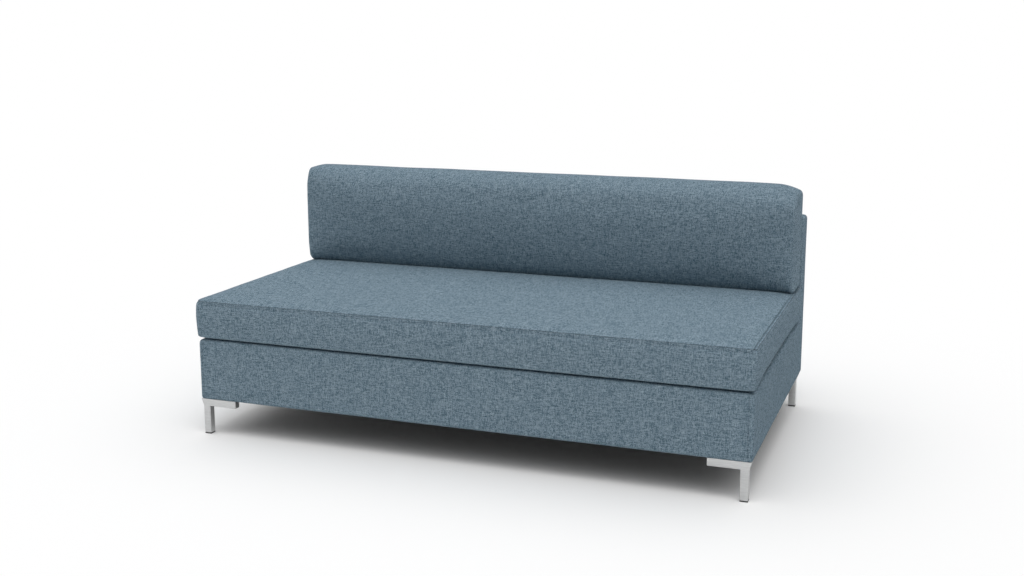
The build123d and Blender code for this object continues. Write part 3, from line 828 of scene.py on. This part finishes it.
def puffUp(name, low, high, shape, seam, cap):
    # blows a coarse copy up as cloth, and returns a function that says how far a point of it moved
    bm = bmesh.new()
    addBlock(bm, low, high)
    for axis in range(3):
        cut(bm, axis, spaced(low[axis], high[axis], puffing["cell"])[1:-1])
    starts = [vert.co.copy() for vert in bm.verts]
    shaped = [shape(place, low, high) for place in starts]
    for vert, place in zip(bm.verts, shaped):
        vert.co = place
    blown = newObject(name + "Puff", bm)
    held = blown.vertex_groups.new(name="held")
    for index, place in enumerate(starts):
        resting = place.z < low.z + mm or place.y > high.y - mm
        if resting or seam(place, low, high) < mm:
            held.add([index], 1.0, "REPLACE")
    cloth = blown.modifiers.new("cloth", "CLOTH")
    cloth.settings.quality = puffing["quality"]
    cloth.settings.mass = puffing["mass"]
    cloth.settings.tension_stiffness = puffing["stretch"]
    cloth.settings.compression_stiffness = puffing["stretch"]
    cloth.settings.bending_stiffness = puffing["bend"]
    cloth.settings.use_pressure = True
    cloth.settings.uniform_pressure_force = puffing["pressure"]
    cloth.settings.effector_weights.gravity = 0
    cloth.settings.vertex_group_mass = "held"
    for frameNumber in range(1, puffing["frames"] + 1):
        scene.frame_set(frameNumber)
    graph = bpy.context.evaluated_depsgraph_get()
    rested = [vert.co.copy() for vert in blown.evaluated_get(graph).data.vertices]
    scene.frame_set(1)
    bpy.data.objects.remove(blown)
    tree = KDTree(len(starts))
    for index, place in enumerate(starts):
        tree.insert(place, index)
    tree.balance()
    reach = puffing["blend"] * puffing["cell"]
    moves = [after - before for after, before in zip(rested, shaped)]
    print(name, "puffed up by at most", round(max(move.length for move in moves) / mm, 1), "mm")

    def moved(place):
        total, weights = Vector(), 0.0
        for _, index, distance in tree.find_n(place, puffing["nearest"]):
            weight = math.exp(-((distance / reach) ** 2))
            total += moves[index] * weight
            weights += weight
        total /= weights
        return total * (cap * math.tanh(total.length / cap) / total.length) if total.length > 1e-7 else total

    return moved


def makeWadding(name, low, high):
    # the wadding that fills a cover, drawn in a little so that the seams can sink into it
    node = name + "_wrap"
    bm = bmesh.new()
    bm.from_mesh(frame["nodes"][node].data)
    bmesh.ops.remove_doubles(bm, verts=bm.verts[:], dist=0.02 * mm)
    bm.normal_update()
    middle = (low + high) / 2
    for vert in bm.verts:
        if (vert.co - middle).dot(vert.normal) < 0:      # the inner wall stays on the core
            continue
        drawn = vert.normal * vert.calc_shell_factor() * wadding["drawnIn"]
        vert.co -= Vector((drawn.x, drawn.y, max(0.0, drawn.z)))
        if name == "seat":
            vert.co.z += seatLift(vert.co, low, high)
    bm.normal_update()
    within = BVHTree.FromBMesh(bm)
    piece = makePiece(name + "_wadding", bm, fibreWadding, (node,), crease=40)
    return within


def keepOutside(bm, name, within, gap):
    # no cloth point may sink into the wadding
    moved = 0
    for vert in bm.verts:
        near, normal, _, _ = within.find_nearest(vert.co)
        short = gap - (vert.co - near).dot(normal)
        if short > 0:
            vert.co += normal * short
            moved += 1
    print(name, "cover: pushed out", moved, "points")


def openForZip(bm, starts, rear, zipZ):
    half, tall = zipOpening["half"], zipOpening["halfHeight"]
    hole = []
    for face in bm.faces:
        at = sum((starts[vert] for vert in face.verts), Vector()) / len(face.verts)
        if at.y > rear - mm and abs(at.x) < half and abs(at.z - zipZ) < tall:
            hole.append(face)
    cleared = set(hole)
    rim = [edge for edge in bm.edges if sum(face in cleared for face in edge.link_faces) == 1]
    bmesh.ops.delete(bm, geom=hole, context="FACES")
    turned = bmesh.ops.extrude_edge_only(bm, edges=rim)["geom"]
    moved = [v for v in turned if isinstance(v, bmesh.types.BMVert)]
    bmesh.ops.translate(bm, vec=(0, -zipOpening["lip"], 0), verts=moved)


def addStitches(name, surface, path):
    # lockstitch along a sewn edge, lying on the cloth in the bottom of the seam; its dark thread is partly
    # real stitching and partly painted shade in the seam
    bm = bmesh.new()
    pitch, long, radius = (stitching[key] for key in ("pitch", "long", "radius"))
    travelled, nextAt = 0.0, 0.0
    for start, end in zip(path, path[1:] + path[:1]):
        run = (end - start).length
        way = (end - start) / run
        while nextAt < travelled + run:
            spot = start + way * (nextAt - travelled)
            near, normal, _, _ = surface.find_nearest(spot)
            near += normal * stitching["proud"]
            addRod(bm, near - way * long / 2, near + way * long / 2, radius, 6)
            nextAt += pitch
        travelled += run
    makePiece(name + "_stitches", bm, seamShadeThread, (), name + "_cushion", crease=60)


def seamPath(verts):
    # the verts along the seam, put in order from one to its neighbour
    at = verts[0]
    left = set(verts) - {at}
    path = [at]
    while left:
        ahead = [edge.other_vert(at) for edge in at.link_edges if edge.other_vert(at) in left]
        if not ahead:
            break
        at = ahead[0]
        left.discard(at)
        path.append(at)
    return [vert.co.copy() for vert in path]


def makeCushion(name, size, shape, seam):
    boxLow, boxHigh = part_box(name + "_cover")
    low = Vector((-size["halfWidth"], size["front"], boxLow.z - 0.2 * mm))
    high = Vector((size["halfWidth"], boxHigh.y, size["top"]))
    zipZ, half, tall = zipOpening[name], zipOpening["half"], zipOpening["halfHeight"]
    moved = puffUp(name, low, high, shape, seam, size["puffCap"])

    bm = bmesh.new()
    addBlock(bm, low, high)
    cut(bm, 0, edged(low.x, high.x, size["cell"]) + [-half, half])
    cut(bm, 1, edged(low.y, high.y, size["cell"]))
    zipEdges, clear = [zipZ - tall, zipZ + tall], zipOpening["clear"]
    rows = edged(low.z, high.z, size["cell"])
    cut(bm, 2, [z for z in rows if all(abs(z - edge) > clear for edge in zipEdges)] + zipEdges)
    bm.normal_update()
    mapBar(bm, low, high)

    starts = {vert: vert.co.copy() for vert in bm.verts}
    for vert, place in starts.items():
        vert.co = shape(place, low, high) + moved(place)
    bm.normal_update()
    sewn = []
    for vert, place in starts.items():
        away = seam(place, low, high)
        ripple = noise.noise(place / softness["puckerSize"])
        rests = place.z < low.z + mm or place.y > high.y - mm
        if away < 0.1 * mm:
            vert.co -= vert.normal * size["seamDepth"] * (1 + softness["seamRipple"] * ripple)
            sewn.append(vert)
        elif not rests:
            pucker = size["pucker"] * ripple * math.exp(-away / softness["puckerReach"])
            uneven = softness["depth"] * noise.noise(place / softness["size"] + softness["shift"])
            vert.co += vert.normal * (pucker + uneven)
    openForZip(bm, starts, high.y, zipZ)
    bmesh.ops.recalc_face_normals(bm, faces=bm.faces[:])
    keepOutside(bm, name, makeWadding(name, low, high), wadding["clear"])
    path = seamPath(sewn) if size["stitched"] else []

    piece = makePiece(name + "_cushion", bm, tweedCloth, (name + "_cover",))
    smooth = piece.modifiers.new("subdivision", "SUBSURF")
    smooth.levels = 1
    smooth.render_levels = 1
    if path:
        addStitches(name, BVHTree.FromObject(piece, bpy.context.evaluated_depsgraph_get()), path)
    addWall(piece, size["thickness"])


makeCushion("seat", seatCushion, shapeSeat, seatSeam)
makeCushion("back", backCushion, shapeBack, backSeam)
print("cushions made")


# zips

zips = {
    "floor": 1.0 * mm,       # the tape's middle lies this deep in the box of the CAD zip
    "tape": (0.3 * mm, 0.5 * mm),    # below and above that
    "tapeInset": 0.6 * mm,
    "tapeGap": 1.2 * mm,
    "tooth": (1.5 * mm, 1.2 * mm, 3.4 * mm),
    "toothTip": 0.6,         # its length at the tip, as a share
    "toothFromMiddle": 0.9 * mm,
    "pitch": 3.0 * mm,       # about twice the real spacing, so that the teeth show
    "endRoom": 12 * mm,
}

slider = {
    "body": 15 * mm,
    "tail": 0.66,            # its width at the tail, as a share
    "edge": 0.8 * mm,
    "tab": (6 * mm, 1.0 * mm),       # width and thickness
    "tabDepth": 0.7 * mm,
    "tabOverlap": 3 * mm,
    "tabCorner": 2.2 * mm,
}


def makeZip(name):
    low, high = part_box(name + "_zip")
    zipZ = (low.z + high.z) / 2
    floor = low.y + zips["floor"]
    under, over = zips["tape"]
    inset = zips["tapeInset"]
    bm = bmesh.new()
    for side in (-1, 1):
        near, far = sorted((zipZ + side * zips["tapeGap"] / 2, zipZ + side * (high.z - zipZ - inset)))
        addBlock(bm, (low.x + inset, floor - under, near), (high.x - inset, floor + over, far))
    mapWeave(bm)
    makePiece(name + "_zip_tape", bm, zipTape, (name + "_zip",), crease=30)

    long, thick, wide = zips["tooth"]
    pitch, seated = zips["pitch"], floor + over
    bm = bmesh.new()
    count = int((high.x - low.x - zips["endRoom"]) / pitch)
    for n in range(count):
        for side in (-1, 1):
            x = -count * pitch / 2 + n * pitch + (side + 1) * pitch / 4
            z = zipZ + side * zips["toothFromMiddle"]
            made = addBlock(bm, (x - long / 2, seated, z - wide / 2),
                            (x + long / 2, seated + thick, z + wide / 2))
            tip = [v for v in made if (v.co.z - zipZ) * side < 0]
            narrower = (zips["toothTip"], 1, 1)
            bmesh.ops.scale(bm, vec=narrower, space=Matrix.Translation((-x, 0, 0)), verts=tip)
    makePiece(name + "_zip_teeth", bm, zipNylon, (), bodyOf[name + "_zip"], crease=30)


def makeSlider(name):
    node = name + "_zip_slider"
    low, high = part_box(node)
    middle = (low + high) / 2
    bodyEnd = high.x - slider["body"]
    tabWide, tabThick = slider["tab"]
    bm = bmesh.new()
    # one block for the slider's body, narrower at its tail, with the pull tab lying flat behind it
    block = addBlock(bm, (bodyEnd, low.y, low.z), high)
    tail = [v for v in block if v.co.x < (bodyEnd + high.x) / 2]
    bmesh.ops.scale(bm, vec=(1, 1, slider["tail"]), space=Matrix.Translation((0, 0, -middle.z)), verts=tail)
    roundEdges(bm, bm.edges[:], slider["edge"])
    tabLow = low.y + slider["tabDepth"]
    tab = addBlock(bm, (low.x, tabLow, middle.z - tabWide / 2),
                   (bodyEnd + slider["tabOverlap"], tabLow + tabThick, middle.z + tabWide / 2))
    roundEdges(bm, edgesAlong(bm, 1, tab), slider["tabCorner"], 4)
    makePiece(node + "_body", bm, sliderZinc, (node,), crease=35)


for cushionName in ("seat", "back"):
    makeZip(cushionName)
    makeSlider(cushionName)
print("zips made")


# legs

legs = {
    "tube": 25.4 * mm,
    "edge": 1.4 * mm,
    "postInset": 9 * mm,
    "plate": 4 * mm,
    "plateSunk": 0.2 * mm,
    "plateCorner": 4 * mm,
    "foot": 4 * mm,
    "footEdge": 1.0 * mm,
    "plugInset": 2.3 * mm,
    "plugOverlap": 0.5 * mm,
}

bolt = {
    "across": (6.0 * mm, 7.5 * mm),    # radius to the corners at the chamfer and above it
    "chamfer": 1.2 * mm,
    "head": 3.0 * mm,
    "washer": (9.5 * mm, 1.1 * mm),
    "shank": 3.9 * mm,
    "apart": 20 * mm,          # vertices nearer than this belong to one bolt
}


def makeLeg(place, word):
    node = "leg_" + place + "_" + word
    side = 1 if word == "right" else -1
    low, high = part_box(node)
    inner, outer = sorted((abs(low.x), abs(high.x)))
    tube = legs["tube"]
    y0 = low.y if place == "front" else high.y - tube
    barLow = high.z - tube
    postOuter = outer - legs["postInset"]
    postInner = postOuter - tube
    outline = [(inner, high.z), (inner, barLow), (postInner, barLow), (postInner, low.z), (postOuter, low.z),
               (postOuter, barLow), (outer, high.z)]
    bm = bmesh.new()
    addPrism(bm, [(side * x, y0, z) for x, z in outline], (0, tube, 0))
    roundEdges(bm, bm.edges[:], legs["edge"])
    plate = addBlock(bm, (side * postOuter, low.y + mm, high.z - legs["plate"]),
                     (side * inner, high.y - mm, high.z - legs["plateSunk"]))
    roundEdges(bm, edgesAlong(bm, 2, plate), legs["plateCorner"], 4)
    bmesh.ops.recalc_face_normals(bm, faces=bm.faces[:])
    makePiece(node + "_tube", bm, legSteel, (node,), crease=40)


def makeGlide(place, word):
    node = "glide_" + place + "_" + word
    low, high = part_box(node)
    top, inset = legs["foot"], legs["plugInset"]
    bm = bmesh.new()
    addBlock(bm, low, (high.x, high.y, top))
    roundEdges(bm, bm.edges[:], legs["footEdge"])
    addBlock(bm, (low.x + inset, low.y + inset, top - legs["plugOverlap"]),
             (high.x - inset, high.y - inset, high.z))
    makePiece(node + "_foot", bm, glidePlastic, (node,), crease=35)


def makeBolts():
    # hexagon heads with a chamfer and a washer under each, seen from below
    low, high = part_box("leg_bolts")
    bolts = []
    for vert in frame["nodes"]["leg_bolts"].data.vertices:
        if vert.co.z < low.z + 0.1 * mm:
            near = [found for found in bolts if (found[0] - vert.co.xy).length < bolt["apart"]]
            if near:
                near[0].append(vert.co.xy)
            else:
                bolts.append([vert.co.xy])
    bm = bmesh.new()
    narrow, wide = bolt["across"]
    washer, washerThick = bolt["washer"]
    for found in bolts:
        x, y = sum(found, Vector((0, 0))) / len(found)
        level = low.z
        for start, tall in ((narrow, bolt["chamfer"]), (wide, bolt["head"])):
            middle = Matrix.Translation((x, y, level + tall / 2))
            bmesh.ops.create_cone(
                bm, cap_ends=True, segments=6, radius1=start, radius2=wide, depth=tall, matrix=middle,
            )
            level += tall
        addRod(bm, (x, y, level), (x, y, level + washerThick), washer, 24)
        addRod(bm, (x, y, level + washerThick), (x, y, high.z), bolt["shank"])
    makePiece("leg_bolts_hexagon", bm, fixingSteel, ("leg_bolts",), crease=30)


for place in ("front", "rear"):
    for word in ("left", "right"):
        makeLeg(place, word)
        makeGlide(place, word)
makeBolts()
print("legs made")


# finishes of the pieces inside

inside = {
    birchPly: ("back_post", "back_upright", "front_rail", "leg_block", "rear_rail", "side_rail",
               "spring_rail", "stretcher", "tack_rail", "top_rail"),
    seatFoam: ("back_core", "seat_core", "front_pad", "base_end_pad", "back_end_pad", "deck_foam",
               "back_top_pad", "inside_back_pad"),
    fibreWadding: ("deck_felt", "outside_back_pad"),
    hardboard: ("outside_back_board",),
    springSteel: ("seat_springs", "spring_clips"),
    webBand: ("back_webbing",),
    fixingSteel: ("tee_nuts", "frame_screws"),
}
for material, starts in inside.items():
    for node, piece in frame["nodes"].items():
        if node.startswith(starts):
            piece.data.materials.clear()
            piece.data.materials.append(material)
print("inner pieces finished")


# floor, light and camera

studio = {
    "floorColour": "#F7F7F7",
    "floorBounce": "#EDEDED",     # what the sofa gets back from it
    "floorHalf": (0.97, 0.55, 0),     # half the sofa's outline
    "floorSize": 30.0,
    "fadeFrom": 0.2,          # metres out from the sofa's outline, where the floor starts to go white
    "fadeTo": 2.0,
    "ceiling": 0.85,          # level of the broad light overhead
    "ceilingRise": (0.4, 0.8),    # sine of the elevation where it starts and is full
    "softbox": 5.2,           # level of the softer, nearer light in the middle of it
    "softboxAim": (0.1, -0.276, 0.956),
    "softboxTightness": 36.0,
    "fill": 0.2,             # level from all round
    "leftFill": 0.35,         # more from the left
}

camera = {
    "place": (1.5313, -4.1717, 1.4251),
    "turn": 20.161,
    "tilt": 10.576,
    "lens": 44.376,
    "shiftUp": -0.0294,
}


def makeFloor():
    # matt white studio floor that keeps the sofa's shadow and goes to white further off
    bm = bmesh.new()
    bmesh.ops.create_grid(bm, x_segments=1, y_segments=1, size=studio["floorSize"])
    floor = newObject("floor", bm)
    material = bpy.data.materials.new("matt_white_floor")
    material.use_nodes = True
    tree = material.node_tree
    tree.nodes.clear()
    ray = addNode(tree, "LightPath")
    seen = ray.outputs["Is Camera Ray"]
    tone = addNode(tree, "Mix", {0: seen, 6: paint(studio["floorBounce"]), 7: paint(studio["floorColour"])},
                   data_type="RGBA")
    matt = addNode(tree, "BsdfDiffuse", {"Color": tone.outputs[2]})
    white = addNode(tree, "Emission", {"Color": (1, 1, 1, 1), "Strength": 1.0})
    spot = addNode(tree, "TexCoord")
    folded = addNode(tree, "VectorMath", {0: spot.outputs["Object"]}, operation="ABSOLUTE")
    past = addNode(tree, "VectorMath", {0: folded, 1: studio["floorHalf"]}, operation="SUBTRACT")
    outside = addNode(tree, "VectorMath", {0: past, 1: (0, 0, 0)}, operation="MAXIMUM")
    reach = addNode(tree, "VectorMath", {0: outside}, operation="LENGTH")
    fade = addNode(tree, "MapRange", {0: reach.outputs["Value"], 1: studio["fadeFrom"], 2: studio["fadeTo"]},
                   interpolation_type="SMOOTHSTEP")
    faded = addNode(tree, "Math", {0: fade, 1: seen}, operation="MULTIPLY")
    mixed = addNode(tree, "MixShader", {0: faded, 1: matt, 2: white})
    # see-through from below, so that the underside can be looked at
    facing = addNode(tree, "NewGeometry")
    clear = addNode(tree, "BsdfTransparent")
    below = addNode(tree, "Math", {0: facing.outputs["Backfacing"], 1: seen}, operation="MULTIPLY")
    shown = addNode(tree, "MixShader", {0: below, 1: mixed, 2: clear})
    addNode(tree, "OutputMaterial", {0: shown})
    floor.data.materials.append(material)


def makeSky():
    # soft light from a ceiling, strongest a little in front of overhead, that shows as plain white
    world = bpy.data.worlds.new("studio")
    scene.world = world
    world.use_nodes = True
    tree = world.node_tree
    tree.nodes.clear()
    aim = addNode(tree, "TexCoord").outputs["Generated"]
    parts = addNode(tree, "SeparateXYZ", {0: aim})
    low, full = studio["ceilingRise"]
    fill, bright = studio["fill"], studio["fill"] + studio["ceiling"]
    ceiling = addNode(tree, "MapRange", {0: parts.outputs[2], 1: low, 2: full, 3: fill, 4: bright},
                      interpolation_type="SMOOTHSTEP")
    facing = addNode(tree, "VectorMath", {0: aim, 1: studio["softboxAim"]}, operation="DOT_PRODUCT")
    ahead = addNode(tree, "Math", {0: facing.outputs["Value"], 1: 0.0}, operation="MAXIMUM")
    tight = addNode(tree, "Math", {0: ahead, 1: studio["softboxTightness"]}, operation="POWER")
    softbox = addNode(tree, "Math", {0: tight, 1: studio["softbox"], 2: ceiling}, operation="MULTIPLY_ADD")
    leftward = addNode(tree, "Math", {0: parts.outputs[0], 1: -studio["leftFill"]}, operation="MULTIPLY")
    left = addNode(tree, "Math", {0: leftward, 1: 0.0}, operation="MAXIMUM")
    level = addNode(tree, "Math", {0: softbox, 1: left}, operation="ADD")
    light = addNode(tree, "Background", {"Color": (1, 1, 1, 1), "Strength": level})
    plain = addNode(tree, "Background", {"Color": (1, 1, 1, 1), "Strength": 1.0})
    ray = addNode(tree, "LightPath")
    seen, glossy = ray.outputs["Is Camera Ray"], ray.outputs["Is Glossy Ray"]
    shiny = addNode(tree, "Math", {0: seen, 1: glossy}, operation="MAXIMUM")
    shown = addNode(tree, "Math", {0: shiny, 1: ray.outputs["Is Transmission Ray"]}, operation="MAXIMUM")
    mixed = addNode(tree, "MixShader", {0: shown, 1: light, 2: plain})
    addNode(tree, "OutputWorld", {0: mixed})


def makeCamera():
    lens = bpy.data.cameras.new("camera")
    lens.sensor_width = 36
    lens.sensor_fit = "HORIZONTAL"
    lens.lens = camera["lens"]
    lens.shift_y = camera["shiftUp"]
    viewer = bpy.data.objects.new("camera", lens)
    viewer.location = camera["place"]
    viewer.rotation_euler = (math.radians(90 - camera["tilt"]), 0, math.radians(camera["turn"]))
    scene.collection.objects.link(viewer)
    scene.camera = viewer


makeFloor()
makeSky()
makeCamera()
scene.view_settings.view_transform = "Standard"
print("studio ready")
